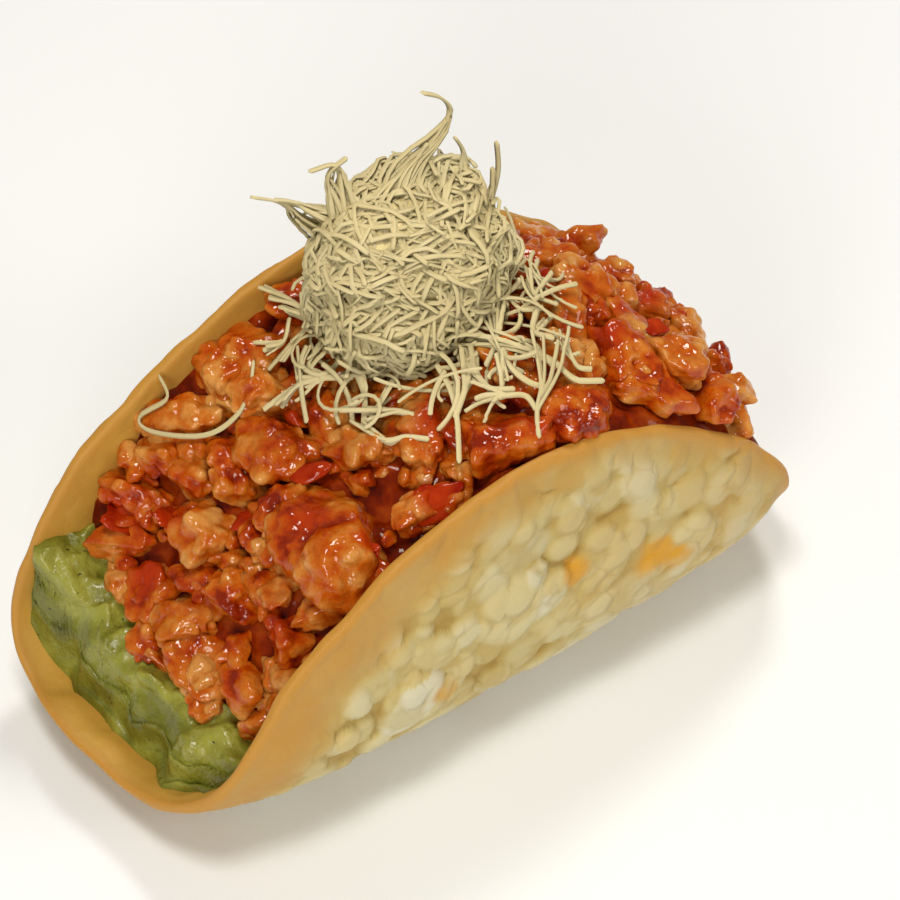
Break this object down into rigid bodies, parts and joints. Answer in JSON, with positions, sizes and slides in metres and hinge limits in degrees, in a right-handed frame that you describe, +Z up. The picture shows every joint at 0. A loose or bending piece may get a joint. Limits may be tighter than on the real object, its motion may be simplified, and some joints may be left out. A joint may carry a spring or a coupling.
{
  "type": "taco",
  "caption": "Soft taco: a small folded flour tortilla that stands on its fold, filled with guacamole and chopped chicken in chilli sauce, topped with a tuft of finely grated cheese.",
  "frame": {"origin": "on the ground under the middle of the taco's bounding box", "axes": "+X along the fold, from the end that shows the guacamole to the other, +Y from the low front wall to the high back wall, +Z up"},
  "size_m": [0.108, 0.0516, 0.086],
  "materials": {
    "tortilla": "fried flour tortilla, pale cream blisters over a tan sheet, satin",
    "guacamole": "mashed avocado, wet",
    "chicken": "chopped chicken in orange-red chilli sauce, wet",
    "cheese": "finely grated pale cheese, satin"
  },
  "bodies": {
    "root": {"tortilla": "tortilla", "guacamole": "guacamole", "chicken_filling": "chicken", "grated_cheese": "cheese"}
  },
  "joints": []
}
